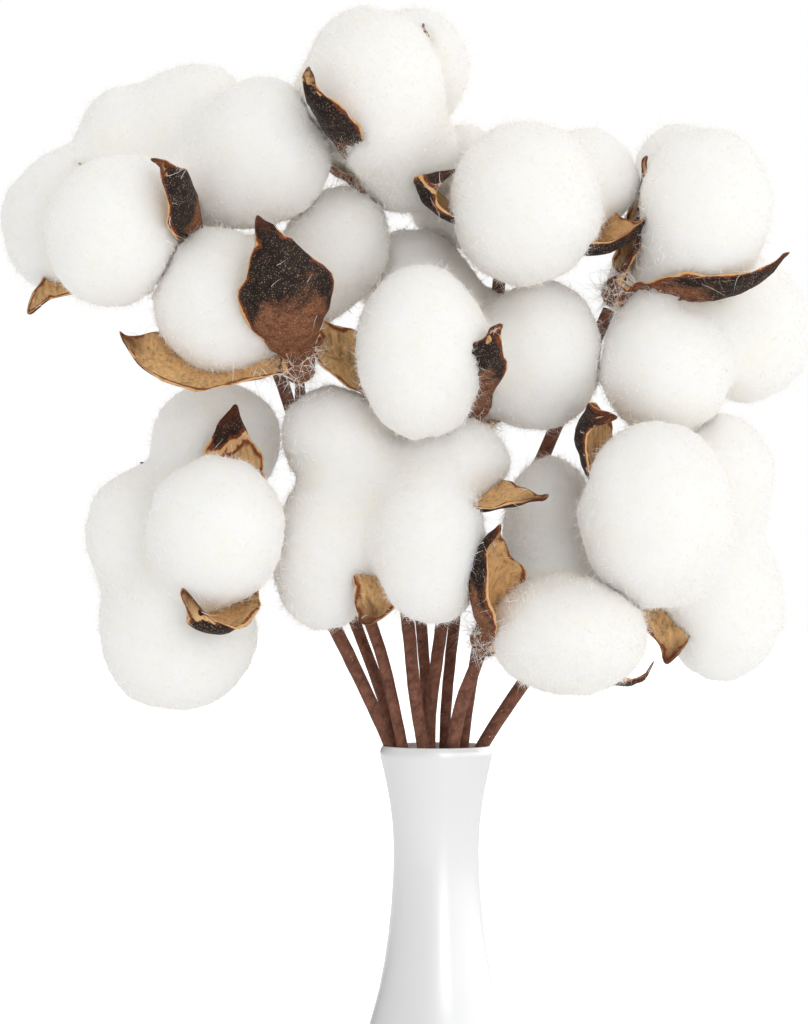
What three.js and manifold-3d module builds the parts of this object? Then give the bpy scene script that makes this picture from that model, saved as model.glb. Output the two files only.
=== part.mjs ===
// Cotton stem bunch: ten opened cotton bolls on paper-taped stems, standing in a slim white vase.
// Millimetres, +Z up. The origin is the centre of the vase's flat foot, and +Y points to the back.

import * as THREE from 'three';
import { mergeVertices } from 'three/addons/utils/BufferGeometryUtils.js';
import Module from 'manifold-3d';

const wasm = await Module();
wasm.setup();

// ---- Driving dimensions ----

const VASE_HEIGHT = 150;
const FOOT_RADIUS = 24;
const BELLY_RADIUS = 30.5;
const WAIST_RADIUS = 10.4;
const MOUTH_RADIUS = 14.5;
const VASE_WALL = 1.5;
const LIP_WALL = 1.4;
const VASE_FLOOR = 6;
const VASE_SIDES = 22;

const STEM_RADIUS_LOW = 1.6;
const STEM_RADIUS_TOP = 2;
const STEM_SIDES = 6;
const STEM_STEPS = 9;
const STEM_RING_RADIUS = 6.4;

const VALVE_THICKNESS = 1.2;
const VALVE_HALF_WIDTH = 12;
const VALVE_LENGTH = 40;
const VIA_AT = 0.45;
const USUAL_BOW = 0.22;
const KNOB_RADIUS = 4.8;
const KNOB_LENGTH = 9;

const GAP = 0.3;
const BIG_LOCK = 14.5;
const BIG_LOCK_DETAIL = [9, 6];
const SMALL_LOCK_DETAIL = [8, 5];
const LOCK_SWELL = 1.04;
const HEART_DETAIL = [7, 4];
const HEART_DISTANCE = 14;
const HEART_RADIUS = 9.5;
const ROOT_SHARPNESS = 5;
const ROOT_REACH = 30;

// ---- The bolls ----
// Every place is [x, y, height above the vase's lip]. A lock is one fluffy lobe of lint: [x, y, height,
// radius, half height]. A valve is a pointed burr leaf: its tip, the way its outer face looks (`out`), a
// place its middle line passes (`via`, or the usual bow), and how much wider it is than usual (`wide`).
// A valve that shows well has finer faces, and `cup` says how much deeper it is cupped than usual.
// `rim` is where the stem crosses the lip, `way` what it passes on its way up, and `slot` its place in the
// neck: a turn in degrees round the ring of stems, or null for the stem in the middle.

const BOLLS = [
  {
    name: '01',
    base: [-17, 4, 141],
    slot: 110,
    rim: [-1.6, 6.5],
    way: [[-5, 8.5, 45]],
    locks: [
      [-16, -16, 162, 17.8, 21],
      [-5.5, 8, 170, 13.5, 16],
      [-23, 12, 160, 14.5, 16],
      [-8, -2, 148, 14, 15],
    ],
    valves: [
      { tip: [-31.3, -29, 167.3], via: [-27.8, -34, 152.7], out: [-0.6, -0.8, 0], wide: 0.65 },
      { tip: [-3.5, -2, 182.3], out: [0.9, 0.2, 0], wide: 0.8 },
      { tip: [5.5, 20, 157], out: [0.5, 0.8, 0] },
      { tip: [-32, 16, 158], out: [-0.8, 0.5, -0.3] },
    ],
  },
  {
    name: '02',
    base: [-58, -3, 125],
    slot: 150,
    rim: [-9.4, 4.2],
    way: [
      [-19, 7, 29],
      [-30, 9, 56],
      [-36, 10, 90],
    ],
    locks: [
      [-79.5, -22, 127.5, 16, 18.5],
      [-42, -12, 148.5, 16.3, 18],
      [-61, 12, 157, 15.5, 15],
      [-78, 12, 151, 13.5, 15.5],
      [-92, 4, 131.5, 16, 18],
    ],
    valves: [
      { tip: [-69, -29, 144.8], via: [-58.8, -32, 134.4], out: [0.75, -0.65, 0.1], wide: 0.9 },
      { tip: [-101.8, -10, 107.8], via: [-84.5, 3, 121.7], out: [-0.2, 0.9, -0.3], wide: 0.8 },
      { tip: [-89.5, -5, 146], out: [-0.5, -0.8, 0.3], wide: 0.6 },
      { tip: [-66, 22, 148], out: [0, 1, 0.2] },
    ],
  },
  {
    name: '03',
    base: [-34, -18, 95],
    slot: 230,
    rim: [-8.8, -4.4],
    way: [
      [-15, -4, 30],
      [-25, 0, 53],
      [-34, 1, 78],
    ],
    locks: [
      [-54, -19, 111, 14.8, 18.5],
      [-24, -4, 126, 13, 14],
      [-45, 10, 112, 15, 17],
    ],
    valves: [
      { tip: [-43.4, -30, 131.5], via: [-35.8, -40, 111.5], out: [0.1, -1, 0], wide: 1.15, cup: 1 },
      { tip: [-77.9, -22, 103.5], via: [-62, -18, 93], out: [-0.2, 0.7, -0.65], wide: 1.05 },
      { tip: [-46, 20, 130], out: [0, 1, 0.2] },
    ],
  },
  {
    name: '04',
    base: [9.6, -5, 79],
    slot: null,
    rim: [-2.2, 0.2],
    way: [[1.2, -1, 30]],
    locks: [
      [-4, -30, 98, 15.3, 21.6],
      [26, -6, 98, 14.7, 19],
      [-5, 7, 116, 14, 15],
      [14, 14, 102, 13, 14],
    ],
    valves: [
      { tip: [15.8, -30, 105.1], via: [10.4, -34, 92.3], out: [0.3, -1, 0], wide: 0.8 },
      { tip: [-28.2, -16, 108.2], via: [-24.3, -10, 96.1], out: [-0.75, 0.6, -0.1], wide: 0.75 },
      { tip: [28, 14, 112], out: [0.7, 0.8, 0] },
    ],
  },
  {
    name: '05',
    base: [17, 9, 128],
    slot: 70,
    rim: [1.9, 7.2],
    way: [
      [4, 9, 30],
      [10, 11, 62],
    ],
    locks: [
      [21.7, -19.5, 134.5, 18.4, 20],
      [38, -2, 141.5, 12.3, 13.5],
      [5, 12, 141, 12.5, 17],
      [22, 27, 138, 14, 15],
    ],
    valves: [
      { tip: [5.3, -15, 143.5], via: [-3.8, -19, 133.6], out: [-0.9, -0.5, -0.2], wide: 1.0 },
      { tip: [51.7, -14, 131.7], via: [39.5, -10, 123], out: [0.6, 0.1, -0.79], wide: 1.0, cup: 1.3 },
      { tip: [8, 22, 147], out: [-0.6, 0.8, 0.2] },
      { tip: [38, 26, 144], out: [0.7, 0.7, -0.2] },
    ],
  },
  {
    name: '06',
    base: [45.5, -3, 114],
    slot: 30,
    rim: [6.6, 5],
    way: [
      [12, 8, 34],
      [28, 5, 76],
    ],
    locks: [
      [66.6, -10, 134.5, 16.2, 19.5],
      [78, 10, 105, 15.9, 18],
      [56.6, -10, 94, 16.3, 15.5],
      [62, 14, 146, 11.5, 11.5],
      [58, 22, 117, 14, 16],
    ],
    valves: [
      { tip: [87.7, -11, 123.8], via: [66.9, -14, 110.3], out: [0, -0.3, -1], wide: 0.8 },
      { tip: [52.0, -4, 148.4], via: [49.6, -2, 132.9], out: [-1, 0.05, 0], wide: 0.6 },
      { tip: [67.6, 5, 155], out: [0.2, 1, 0.3], wide: 0.7 },
    ],
  },
  {
    name: '07',
    base: [48.5, 0, 55],
    slot: -10,
    rim: [10.2, -1.5],
    way: [[26, -1, 22]],
    locks: [
      [53, -28, 58.5, 18.5, 22.7],
      [71, -5, 66, 12.5, 18],
      [70.5, -8, 37, 15, 19.5],
      [63, 18, 52, 15, 17],
    ],
    valves: [
      { tip: [44.0, -28, 82.3], via: [32.6, -21, 75.5], out: [-0.75, -0.4, 0.5], wide: 1.25 },
      { tip: [56.7, -19, 21.7], via: [57.0, -12, 34.3], out: [0, 0.9, -0.4], wide: 0.8 },
      { tip: [36, 18, 34], out: [-0.7, 0.5, -0.5] },
      { tip: [76, 22, 70], out: [0.5, 0.7, 0.5] },
    ],
  },
  {
    name: '08',
    base: [12.5, -21, 28],
    slot: 310,
    rim: [2.6, -7.5],
    way: [],
    locks: [
      [32.3, -29, 29, 18.8, 13.8],
      [28.5, 0, 58, 11.5, 15],
      [30, -10, 42, 10, 11],
    ],
    valves: [
      { tip: [15.5, -38, 56.3], via: [7.8, -31, 43], out: [-0.92, 0.38, 0.1], wide: 1.2, cup: 1.6 },
      { tip: [53.2, -20, 22.7], via: [39.9, -22, 16.5], out: [0, 0.2, -1], wide: 0.5 },
      { tip: [20, -4, 50], out: [-0.6, 0.8, 0] },
    ],
  },
  {
    name: '09',
    base: [-12, -3, 57],
    slot: 270,
    rim: [-4.4, -7.6],
    way: [[-6.6, -8, 31]],
    locks: [
      [-1, -29.5, 50, 13.8, 19],
      [-27, -14, 49.5, 13, 20.5],
      [5, -15, 71, 13, 11.5],
      [-25, -11, 78, 13.6, 12],
    ],
    valves: [
      { tip: [26.7, -28, 63.4], via: [12, -24, 58.8], out: [0, 0.4, -0.92], wide: 0.9 },
      { tip: [-18.2, -26, 31.2], via: [-14.4, -20, 39.9], out: [-0.1, 0.95, -0.2], wide: 0.8 },
      { tip: [-14, 8, 92], out: [0, 0.8, 0.6] },
    ],
  },
  {
    name: '10',
    base: [-48, -3, 51],
    slot: 190,
    rim: [-11, 0.3],
    way: [
      [-24, -3, 27],
      [-32, -2, 42],
    ],
    locks: [
      [-53.7, -28, 54.5, 16.2, 18.3],
      [-55, 5, 77, 16, 14],
      [-74, -5, 53, 12.8, 17],
      [-64, -9, 30, 19.3, 19.3],
      [-58, 16, 52, 15, 18],
    ],
    valves: [
      { tip: [-49.6, -16, 85.8], via: [-50.6, -10, 71.4], out: [0, 1, 0.2], wide: 0.85 },
      { tip: [-61.7, -36, 40.7], via: [-52.1, -30, 29.4], out: [0, 0.3, -0.95], wide: 0.9 },
      { tip: [-76, 20, 72], out: [-0.5, 0.7, 0.5] },
      { tip: [-60, 26, 34], out: [0.2, 0.8, -0.6] },
    ],
  },
];

// ---- Small helpers ----

const onBunch = ([x, y, height]) => new THREE.Vector3(x, y, VASE_HEIGHT + height);

/** A closed three.js geometry as a solid that can be joined and cut. */
function toSolid(geometry) {
  const bare = geometry.clone();
  bare.deleteAttribute('normal');
  bare.deleteAttribute('uv');
  const merged = mergeVertices(bare, 1e-4);
  const vertProperties = new Float32Array(merged.attributes.position.array);
  const triVerts = new Uint32Array(merged.index.array);
  return new wasm.Manifold(new wasm.Mesh({ numProp: 3, vertProperties, triVerts }));
}

/** A solid as a three.js geometry. */
function toGeometry(solid) {
  const { vertProperties, triVerts } = solid.getMesh();
  const geometry = new THREE.BufferGeometry();
  geometry.setAttribute('position', new THREE.BufferAttribute(new Float32Array(vertProperties), 3));
  geometry.setIndex(new THREE.BufferAttribute(new Uint32Array(triVerts), 1));
  geometry.computeVertexNormals();
  return geometry;
}

/** Moves every vertex of a geometry to where `move` puts it. */
function reshape(geometry, move) {
  const position = geometry.attributes.position;
  const point = new THREE.Vector3();
  for (let i = 0; i < position.count; i += 1) {
    move(point.fromBufferAttribute(position, i));
    position.setXYZ(i, point.x, point.y, point.z);
  }
  return geometry;
}

/** The biggest piece of a solid; crumbs left by a cut are dropped. */
function mainPiece(solid) {
  const pieces = solid.decompose();
  return pieces.reduce((best, piece) => (piece.volume() > best.volume() ? piece : best));
}

/** True where the boxes round two solids meet. */
function mayMeet(a, b) {
  const first = a.boundingBox();
  const second = b.boundingBox();
  return [0, 1, 2].every((i) => first.min[i] <= second.max[i] && second.min[i] <= first.max[i]);
}

/** `solid` less every cutter that comes near it. */
function cutClear(solid, cutters) {
  return cutters.reduce((rest, cutter) => (mayMeet(rest, cutter) ? rest.subtract(cutter) : rest), solid);
}

// ---- Vase ----

function vaseGeometry() {
  const outer = new THREE.SplineCurve([
    new THREE.Vector2(FOOT_RADIUS, 0),
    new THREE.Vector2(BELLY_RADIUS * 0.96, 17),
    new THREE.Vector2(BELLY_RADIUS, 35),
    new THREE.Vector2(BELLY_RADIUS * 0.83, 58),
    new THREE.Vector2(18.2, 76),
    new THREE.Vector2(14, 90),
    new THREE.Vector2(11.7, 105),
    new THREE.Vector2(WAIST_RADIUS, 122),
    new THREE.Vector2(11, 134),
    new THREE.Vector2(MOUTH_RADIUS - 1.2, 144.5),
    new THREE.Vector2(MOUTH_RADIUS, VASE_HEIGHT - 1.4),
  ]);
  const outline = outer.getPoints(11);
  const inside = outline
    .filter((point) => point.y > VASE_FLOOR + 4 && point.y < VASE_HEIGHT - 4)
    .map((point) => new THREE.Vector2(point.x - VASE_WALL, point.y));
  inside.push(new THREE.Vector2(MOUTH_RADIUS - LIP_WALL, VASE_HEIGHT - 0.6));
  const profile = [
    new THREE.Vector2(0, 0),
    ...outline,
    new THREE.Vector2(MOUTH_RADIUS - 0.5, VASE_HEIGHT),
    ...inside.reverse(),
    new THREE.Vector2(FOOT_RADIUS - VASE_WALL, VASE_FLOOR),
    new THREE.Vector2(0, VASE_FLOOR),
  ];
  return new THREE.LatheGeometry(profile, VASE_SIDES).rotateX(Math.PI / 2);
}

// ---- Stems ----

function stemPath(boll) {
  const turn = THREE.MathUtils.degToRad(boll.slot ?? 0);
  const reach = boll.slot === null ? 0 : STEM_RING_RADIUS;
  const neck = [reach * Math.cos(turn), reach * Math.sin(turn)];
  const [rimX, rimY] = boll.rim;
  const justBelowLip = [0.8 * neck[0] + 0.2 * rimX, 0.8 * neck[1] + 0.2 * rimY];
  return new THREE.CatmullRomCurve3([
    new THREE.Vector3(...neck, VASE_FLOOR + GAP),
    new THREE.Vector3(...neck, VASE_HEIGHT * 0.5),
    new THREE.Vector3(...neck, VASE_HEIGHT * 0.82),
    new THREE.Vector3(...justBelowLip, VASE_HEIGHT * 0.92),
    onBunch([rimX, rimY, 1]),
    ...boll.way.map(onBunch),
    onBunch(boll.base),
  ]);
}

/** A capped cylinder bent along the stem's path, a little thicker towards the boll. */
function stemGeometry(boll, grow = 0) {
  const path = stemPath(boll);
  const frames = path.computeFrenetFrames(STEM_STEPS, false);
  return reshape(new THREE.CylinderGeometry(1, 1, 1, STEM_SIDES, STEM_STEPS), (point) => {
    const along = THREE.MathUtils.clamp(0.5 - point.y, 0, 1);
    const step = Math.round(along * STEM_STEPS);
    const swell = THREE.MathUtils.smoothstep(along, 0.45, 0.95);
    const radius = THREE.MathUtils.lerp(STEM_RADIUS_LOW, STEM_RADIUS_TOP, swell) + grow;
    const across = frames.normals[step].clone().multiplyScalar(point.x * radius);
    across.addScaledVector(frames.binormals[step], point.z * radius);
    point.copy(path.getPointAt(along)).add(across);
  });
}

// ---- Burrs: the dry brown cup and its pointed valves ----

/** Half the width of a valve between its edges, from the base (0) to the tip (1). */
const valveOutline = new THREE.SplineCurve([
  new THREE.Vector2(0, 0.15),
  new THREE.Vector2(0.2, 0.6),
  new THREE.Vector2(0.38, 1),
  new THREE.Vector2(0.62, 0.62),
  new THREE.Vector2(0.8, 0.26),
  new THREE.Vector2(1, 0.04),
]);

function valveHalfWidth(along) {
  const knots = valveOutline.points;
  const next = Math.max(1, knots.findIndex((knot) => knot.x >= along));
  const [from, to] = [knots[next - 1], knots[next]];
  return THREE.MathUtils.mapLinear(along, from.x, to.x, from.y, to.y);
}

/** A cupped, pointed leaf that bows outward on its way from the boll's base to its tip. */
function valveGeometry(boll, valve, grow = 0, sweep = 0) {
  const base = onBunch(boll.base);
  const tip = onBunch(valve.tip);
  const chord = tip.clone().sub(base);
  const length = chord.length();
  const ahead = chord.clone().normalize();
  const outward = new THREE.Vector3(...valve.out);
  outward.addScaledVector(ahead, -outward.dot(ahead)).normalize();
  const side = new THREE.Vector3().crossVectors(ahead, outward);
  const usual = base.clone().lerp(tip, VIA_AT).addScaledVector(outward, length * USUAL_BOW);
  const via = valve.via ? onBunch(valve.via) : usual;
  const pull = via.clone().addScaledVector(base, -((1 - VIA_AT) ** 2));
  pull.addScaledVector(tip, -(VIA_AT ** 2)).divideScalar(2 * VIA_AT * (1 - VIA_AT));
  const midline = new THREE.QuadraticBezierCurve3(base, pull, tip);
  const scale = THREE.MathUtils.clamp(length / VALVE_LENGTH, 0.75, 1.1);
  const fullHalfWidth = VALVE_HALF_WIDTH * scale * (valve.wide ?? 1);
  const blank = new THREE.BoxGeometry(2, 1, 1, valve.cup ? 4 : 2, 5, 1);
  return reshape(blank, (point) => {
    const along = point.y + 0.5;
    const halfWidth = fullHalfWidth * valveHalfWidth(along);
    const wrap = THREE.MathUtils.lerp(1.2, 0.7, along) * (valve.cup ?? 1);
    const bend = Math.max(halfWidth, 0.5) / Math.sin(wrap);
    const angle = point.x * (wrap + grow / bend);
    const outside = point.z > 0;
    const skin = VALVE_THICKNESS / 2 + grow + (outside ? sweep : 0);
    const reach = bend + (outside ? skin : -skin);
    const centre = midline.getPoint(along);
    centre.addScaledVector(midline.getTangent(along), grow * (2 * along - 1));
    point.copy(centre).addScaledVector(outward, reach * Math.cos(angle) - bend);
    point.addScaledVector(side, reach * Math.sin(angle));
  });
}

/** The small round cup at the head of the stem, which the valves spring from. */
function knobGeometry(boll, grow = 0) {
  const base = onBunch(boll.base);
  const middle = new THREE.Vector3();
  boll.locks.forEach((lock) => middle.add(onBunch(lock)));
  middle.divideScalar(boll.locks.length);
  const profile = [
    new THREE.Vector2(0, -KNOB_LENGTH / 2 - grow),
    new THREE.Vector2(KNOB_RADIUS * 0.62 + grow, -KNOB_LENGTH / 2 - grow),
    new THREE.Vector2(KNOB_RADIUS + grow, -KNOB_LENGTH * 0.1),
    new THREE.Vector2(KNOB_RADIUS * 0.9 + grow, KNOB_LENGTH * 0.3),
    new THREE.Vector2(0, KNOB_LENGTH / 2 + grow),
  ];
  const knob = new THREE.LatheGeometry(profile, 8);
  const turn = new THREE.Quaternion();
  turn.setFromUnitVectors(new THREE.Vector3(0, 1, 0), middle.sub(base).normalize());
  return knob.applyQuaternion(turn).translate(base.x, base.y, base.z);
}

function burrSolid(boll, grow = 0, sweep = 0) {
  const knob = toSolid(knobGeometry(boll, grow));
  return boll.valves
    .map((valve) => toSolid(valveGeometry(boll, valve, grow, sweep)))
    .reduce((burr, valve) => burr.add(valve), knob);
}

// ---- Lint: the white locks ----

/** Each lock of a boll, with the heart of lint by the burr that they all grow from. */
function locksOf(boll) {
  const heart = new THREE.Vector3();
  boll.locks.forEach((lock) => heart.add(onBunch(lock)));
  heart.divideScalar(boll.locks.length).sub(onBunch(boll.base)).setLength(HEART_DISTANCE);
  heart.add(onBunch(boll.base));
  const locks = boll.locks.map((lock) => ({
    boll: boll.name,
    centre: onBunch(lock),
    size: new THREE.Vector3(lock[3], lock[3], lock[4]).multiplyScalar(LOCK_SWELL),
    root: heart,
    detail: lock[3] > BIG_LOCK ? BIG_LOCK_DETAIL : SMALL_LOCK_DETAIL,
  }));
  const size = new THREE.Vector3().setScalar(HEART_RADIUS);
  locks.push({ boll: boll.name, centre: heart, size, root: onBunch(boll.base), detail: HEART_DETAIL });
  return locks;
}

/** How far a lock reaches from its centre in a direction. */
function reachTowards(lock, direction) {
  return 1 / direction.clone().divide(lock.size).length();
}

/** The flat faces where a lock is pressed against the locks of other bolls. */
function pressedFaces(lock, allLocks) {
  const faces = [];
  allLocks.forEach((other) => {
    if (other.boll === lock.boll) return;
    const normal = other.centre.clone().sub(lock.centre);
    const distance = normal.length();
    normal.normalize();
    const own = reachTowards(lock, normal);
    const theirs = reachTowards(other, normal);
    if (distance > own + theirs + ROOT_REACH) return;
    const middle = (distance * distance + own * own - theirs * theirs) / (2 * distance);
    faces.push({ normal, distance: middle - GAP / 2 });
  });
  return faces;
}

/** A puffy ball, drawn out to a root on the side where it grows from, and pressed flat by its neighbours. */
function lockGeometry(lock, allLocks) {
  const faces = pressedFaces(lock, allLocks);
  const toRoot = lock.root.clone().sub(lock.centre);
  const rootDistance = toRoot.length();
  toRoot.normalize();
  const drawnOut = Math.max(1, rootDistance / reachTowards(lock, toRoot));
  const [around, along] = lock.detail;
  const ball = new THREE.SphereGeometry(1, around, along);
  ball.applyQuaternion(new THREE.Quaternion().setFromUnitVectors(new THREE.Vector3(0, 1, 0), toRoot));
  return reshape(ball, (point) => {
    const facing = Math.max(0, point.dot(toRoot));
    point.multiply(lock.size).multiplyScalar(THREE.MathUtils.lerp(1, drawnOut, facing ** ROOT_SHARPNESS));
    faces.forEach((face) => {
      const height = point.dot(face.normal);
      if (height > face.distance) point.multiplyScalar(face.distance / height);
    });
    point.add(lock.centre);
  });
}

// ---- The bunch ----

const finishes = {
  vase: new THREE.MeshStandardMaterial({ color: 0xf2f3f3, roughness: 0.15, metalness: 0 }),
  stem: new THREE.MeshStandardMaterial({ color: 0x6b4437, roughness: 0.85, metalness: 0 }),
  burr: new THREE.MeshStandardMaterial({ color: 0x4a2c22, roughness: 0.6, metalness: 0 }),
  lint: new THREE.MeshStandardMaterial({ color: 0xf6f5f0, roughness: 1, metalness: 0 }),
};

const group = new THREE.Group();

function addPiece(name, geometry, finish) {
  const mesh = new THREE.Mesh(geometry, finishes[finish]);
  mesh.name = name;
  group.add(mesh);
}

addPiece('vase', vaseGeometry(), 'vase');

const parts = BOLLS.map((boll) => ({
  boll,
  stem: toSolid(stemGeometry(boll)),
  stemRoom: toSolid(stemGeometry(boll, GAP)),
  burr: burrSolid(boll),
  burrRoom: burrSolid(boll, GAP),
  burrSweep: burrSolid(boll, GAP, 3),
}));
const allLocks = BOLLS.flatMap(locksOf);

parts.forEach((part, index) => {
  const others = parts.filter((other) => other !== part);
  const earlier = parts.slice(0, index);

  const stem = mainPiece(part.stem.subtract(part.burrRoom));
  addPiece(`stem_${part.boll.name}`, toGeometry(stem), 'stem');

  const burrCutters = [...others.map((other) => other.stemRoom), ...earlier.map((other) => other.burrRoom)];
  addPiece(`burr_${part.boll.name}`, toGeometry(mainPiece(cutClear(part.burr, burrCutters))), 'burr');

  const ownLocks = allLocks.filter((lock) => lock.boll === part.boll.name);
  const lint = ownLocks
    .map((lock) => toSolid(lockGeometry(lock, allLocks)))
    .reduce((whole, lock) => whole.add(lock));
  const lintCutters = [part.burrSweep, ...others.map((other) => other.burrRoom)];
  lintCutters.push(...parts.map((other) => other.stemRoom));
  addPiece(`lint_${part.boll.name}`, toGeometry(mainPiece(cutClear(lint, lintCutters))), 'lint');
});

export default group;
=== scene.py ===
"""Cotton stem bunch: opened cotton bolls on taped stems in a slim white vase."""

import heapq
import math

import bmesh
import bpy
import numpy as np
from bpy.props import FloatProperty, FloatVectorProperty, IntProperty, PointerProperty
from bpy.types import Operator, Panel, PropertyGroup
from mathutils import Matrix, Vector, noise
from mathutils.bvhtree import BVHTree


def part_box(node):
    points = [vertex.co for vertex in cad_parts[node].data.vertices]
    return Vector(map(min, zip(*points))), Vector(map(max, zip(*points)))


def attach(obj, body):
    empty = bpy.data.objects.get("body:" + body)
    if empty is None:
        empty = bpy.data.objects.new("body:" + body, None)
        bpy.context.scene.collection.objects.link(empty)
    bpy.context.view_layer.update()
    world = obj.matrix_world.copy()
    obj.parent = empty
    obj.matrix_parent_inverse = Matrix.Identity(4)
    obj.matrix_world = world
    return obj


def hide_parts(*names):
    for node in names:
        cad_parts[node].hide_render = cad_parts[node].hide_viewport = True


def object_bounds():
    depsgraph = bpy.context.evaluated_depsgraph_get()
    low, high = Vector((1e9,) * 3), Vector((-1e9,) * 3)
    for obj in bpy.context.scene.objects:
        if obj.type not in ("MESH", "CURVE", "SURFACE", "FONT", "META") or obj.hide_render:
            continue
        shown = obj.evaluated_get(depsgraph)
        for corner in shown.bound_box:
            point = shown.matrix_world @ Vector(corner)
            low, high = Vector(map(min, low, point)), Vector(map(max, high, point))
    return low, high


bl_info = {
    "name": "Cotton stem bunch",
    "version": (1, 0, 0),
    "blender": (4, 5, 0),
    "location": "3D View > Sidebar > Cotton",
    "description": "Fluffy lint, dry burrs, taped stems and a glazed vase for a bunch of cotton stems",
    "category": "Object",
}

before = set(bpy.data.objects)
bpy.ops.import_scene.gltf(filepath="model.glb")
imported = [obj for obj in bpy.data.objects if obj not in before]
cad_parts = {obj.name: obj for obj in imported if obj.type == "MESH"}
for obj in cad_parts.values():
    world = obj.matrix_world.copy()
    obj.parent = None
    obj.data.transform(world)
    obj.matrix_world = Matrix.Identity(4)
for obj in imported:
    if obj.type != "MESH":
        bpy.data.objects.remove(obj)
cad_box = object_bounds()

MM = 0.001
BODY = "root"
BOLLS = sorted(name.removeprefix("lint_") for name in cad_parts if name.startswith("lint_"))
BUNCH_LOW, BUNCH_HIGH = (Vector(corner) for corner in cad_box)

# Light from the surroundings on all sides, and how much more of it comes from +X, +Y and +Z.
LIGHT_ALL_ROUND = 0.9
LIGHT_SIDE = (0.14, 0.14, -0.02)

# The same for what the gloss reflects.
SHEEN_ALL_ROUND = 0.8
SHEEN_SIDE = (2.2, -0.1, 0.1)

# The soft lamp in front, in metres and watts.
KEY_PLACE = (0.5, -1.5, 0.4)
KEY_SIZE = 0.6
KEY_POWER = 4.5

# How strongly the floor glows where it is seen directly; it doesn't light the bunch.
FLOOR_GLOW = 0.6

# The camera's place beside the middle of the bunch, and the free strip above the bunch.
CAMERA_LEFT = 1.1 * MM
ROOM_ABOVE = 0.45 * MM

# How far the vase's lip is raised, and how far down the neck the rise begins, in millimetres.
LIP_RAISED = 1.2
LIP_REACH = 15

# How far a valve's tip is from the foot at least, and the tips from each other.
TIP_REACH = 18 * MM
TIPS_APART = 12 * MM

# The lint's swellings, from broad to fine: how high, and how far apart.
BROAD_LUMPS = (0.7 * MM, 9 * MM)
SMALL_LUMPS = (0.25 * MM, 3.2 * MM)
FINE_LUMPS = (0.2 * MM, 1.4 * MM)


# ---- Helpers for meshes ----


def merged_copy(node):
    """A bmesh of a frame node with its loose triangles joined."""
    work = bmesh.new()
    work.from_mesh(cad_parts[node].data)
    bmesh.ops.remove_doubles(work, verts=work.verts, dist=0.002 * MM)
    return work


def add_piece(name, mesh, material, replaced=()):
    """Links a mesh as a finished piece that rides on the frame."""
    piece = bpy.data.objects.new(name, mesh)
    bpy.context.scene.collection.objects.link(piece)
    mesh.materials.clear()
    mesh.materials.append(material)
    mesh.shade_smooth()
    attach(piece, BODY)
    if replaced:
        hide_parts(*replaced)
    return piece


def mesh_from(work, name):
    """Turns a bmesh into a mesh and frees it."""
    mesh = bpy.data.meshes.new(name)
    work.to_mesh(mesh)
    work.free()
    return mesh


def apply_modifiers(piece):
    """Turns a piece's modifiers into plain mesh."""
    depsgraph = bpy.context.evaluated_depsgraph_get()
    mesh = bpy.data.meshes.new_from_object(piece.evaluated_get(depsgraph))
    piece.modifiers.clear()
    piece.data = mesh
    return mesh


def read_points(mesh):
    """The places and normals of a mesh's vertices, as two arrays."""
    places = np.zeros(len(mesh.vertices) * 3, np.float32)
    normals = np.zeros(len(mesh.vertices) * 3, np.float32)
    mesh.vertices.foreach_get("co", places)
    mesh.vertex_normals.foreach_get("vector", normals)
    return places.reshape(-1, 3).astype(float), normals.reshape(-1, 3).astype(float)


def write_points(mesh, places):
    """Puts a mesh's vertices in new places."""
    mesh.vertices.foreach_set("co", places.astype(np.float32).ravel())
    mesh.update()


def write_value(mesh, name, values):
    """Stores one number per vertex, which a material reads by its name."""
    attribute = mesh.attributes.new(name, "FLOAT", "POINT")
    attribute.data.foreach_set("value", np.asarray(values, np.float32))


def read_value(mesh, name):
    """The numbers that a mesh stores under a name, one per vertex."""
    values = np.zeros(len(mesh.vertices), np.float32)
    mesh.attributes[name].data.foreach_get("value", values)
    return values.astype(float)


def step_between(low, high, value):
    """A smooth ramp from 0 at `low` to 1 at `high`."""
    t = np.clip((value - low) / (high - low), 0, 1)
    return t * t * (3 - 2 * t)


def unit(vectors):
    """Vectors of length 1."""
    lengths = np.linalg.norm(vectors, axis=-1, keepdims=True)
    return vectors / np.maximum(lengths, 1e-12)


def lumps(places, size, seed):
    """Smooth noise from about -1 to 1 at each place, with bumps of about `size`."""
    shift = Vector((seed * 7.3, seed * 3.1, seed * 5.7))
    return np.array([noise.noise(Vector(p) / size + shift) for p in places])


# ---- Helpers for materials ----


def scaled(colour, times):
    """A colour made darker or lighter, up to full white."""
    return tuple(min(1, part * times) for part in colour)


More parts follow.
